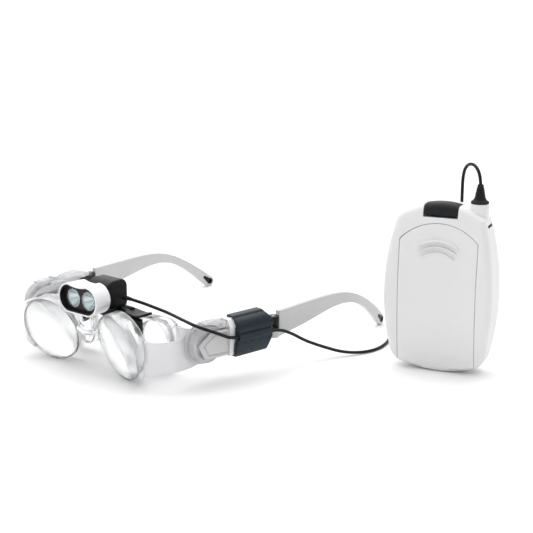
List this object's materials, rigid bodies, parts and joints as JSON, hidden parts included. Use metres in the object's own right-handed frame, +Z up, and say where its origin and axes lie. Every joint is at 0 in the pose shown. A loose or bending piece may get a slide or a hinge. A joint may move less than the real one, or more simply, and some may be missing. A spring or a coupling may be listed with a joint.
{
  "type": "head visor magnifier",
  "caption": "Binocular magnifying spectacles with sliding front lenses, folding temples, a tilting twin lamp and a corded battery box.",
  "frame": {"origin": "bottom centre of the box around the spectacles and the battery box, without the cord, on the surface that they stand on", "axes": "+Z up, the spectacles look along -Y, +X towards the wearer's left"},
  "size_m": [0.2569, 0.1907, 0.1151],
  "materials": {
    "clear_acrylic": "clear moulded acrylic, frosted on the panels",
    "lens_clear": "polished clear lens",
    "frosted_plastic": "translucent frosted grey plastic",
    "pale_plastic": "pale white plastic",
    "grey_plastic": "light grey satin plastic",
    "black_plastic": "black satin plastic",
    "black_rubber": "black moulded rubber",
    "silicone": "clear soft silicone",
    "steel": "turned steel",
    "white_gloss": "glossy white plastic",
    "reflector_chrome": "vapour-coated reflector",
    "led_lens": "phosphor LED dome",
    "circuit_board": "green solder mask",
    "slate_plastic": "dark slate-blue satin plastic",
    "box_white": "off-white satin plastic",
    "switch_grey": "dark grey textured",
    "cell_jacket": "printed cell jacket without lettering",
    "contact_nickel": "nickel-plated spring plate",
    "cord_jacket": "black cord jacket"
  },
  "bodies": {
    "frame": {"eyepiece_lens_left": "lens_clear", "eyepiece_lens_right": "lens_clear", "eyepiece_frame": "clear_acrylic", "wheel_axle_left": "steel", "wheel_axle_right": "steel", "nose_pad_left": "silicone", "nose_pad_right": "silicone", "side_housing_left": "frosted_plastic", "side_housing_right": "frosted_plastic", "cover_plate_left": "grey_plastic", "cover_plate_right": "grey_plastic", "rim_band_left": "pale_plastic", "rim_band_right": "pale_plastic", "hinge_block_left": "black_plastic", "hinge_block_right": "black_plastic", "hinge_pin_left": "steel", "hinge_pin_right": "steel", "lamp_bracket": "black_plastic", "bracket_screw": "steel", "lamp_drum": "black_plastic", "lamp_pin": "steel", "strain_relief": "black_rubber", "cord_clip": "slate_plastic", "box_front_shell": "box_white", "box_rear_shell": "box_white", "box_screws": "steel", "power_cells": "cell_jacket", "cell_contacts": "contact_nickel", "circuit_board": "circuit_board", "jack_socket": "black_plastic", "plug_boot": "black_rubber", "cord_lead": "cord_jacket", "cord_coil": "cord_jacket", "coil_tie": "black_rubber", "cord_tail": "cord_jacket"},
    "front_carrier": {"front_carrier": "clear_acrylic", "objective_lens_left": "lens_clear", "objective_lens_right": "lens_clear", "focus_rack_left": "pale_plastic", "focus_rack_right": "pale_plastic"},
    "focus_wheel_left": {"focus_wheel_left": "frosted_plastic"},
    "focus_wheel_right": {"focus_wheel_right": "frosted_plastic"},
    "temple_left": {"temple_arm_left": "grey_plastic", "temple_eyelet_left": "black_plastic"},
    "temple_right": {"temple_arm_right": "grey_plastic", "temple_eyelet_right": "black_plastic"},
    "lamp_head": {"lamp_shell": "white_gloss", "lamp_bezel": "black_plastic", "led_board": "circuit_board", "tilt_tongue": "black_plastic", "reflector_left": "reflector_chrome", "reflector_right": "reflector_chrome", "led_emitter_left": "led_lens", "led_emitter_right": "led_lens", "lamp_window_left": "lens_clear", "lamp_window_right": "lens_clear"},
    "battery_lid": {"battery_lid": "box_white"},
    "power_switch": {"power_switch": "switch_grey"}
  },
  "joints": [
    {"name": "focus_slide", "type": "slide", "parent": "frame", "child": "front_carrier", "axis": [0, -1, 0], "range_m": [-0.0015, 0.006]},
    {"name": "focus_wheel_left_turn", "type": "hinge", "parent": "frame", "child": "focus_wheel_left", "pos_m": [0.0195, -0.06361, 0.0236], "axis": [0.9903, -0.1392, 0], "range_deg": [-100, 100]},
    {"name": "focus_wheel_right_turn", "type": "hinge", "parent": "frame", "child": "focus_wheel_right", "pos_m": [-0.1175, -0.06361, 0.0236], "axis": [0.9903, 0.1392, 0], "range_deg": [-100, 100]},
    {"name": "temple_left_fold", "type": "hinge", "parent": "frame", "child": "temple_left", "pos_m": [0.0263, -0.0163, 0.025], "axis": [0, 0, 1], "range_deg": [0, 90]},
    {"name": "temple_right_fold", "type": "hinge", "parent": "frame", "child": "temple_right", "pos_m": [-0.1243, -0.0163, 0.025], "axis": [0, 0, -1], "range_deg": [0, 78]},
    {"name": "lamp_tilt", "type": "hinge", "parent": "frame", "child": "lamp_head", "pos_m": [-0.049, -0.071, 0.041], "axis": [1, 0, 0], "range_deg": [-8, 3]},
    {"name": "lid_slide", "type": "slide", "parent": "frame", "child": "battery_lid", "axis": [0, 0, -1], "range_m": [0, 0.012]},
    {"name": "switch_press", "type": "slide", "parent": "frame", "child": "power_switch", "axis": [0, 0, -1], "range_m": [0, 0.0008], "stiffness_N_per_m": 400}
  ],
  "couplings": [
    {"joint": "focus_wheel_left_turn", "follows": "focus_slide", "rad_per_m": -277.78},
    {"joint": "focus_wheel_right_turn", "follows": "focus_slide", "rad_per_m": -277.78}
  ]
}
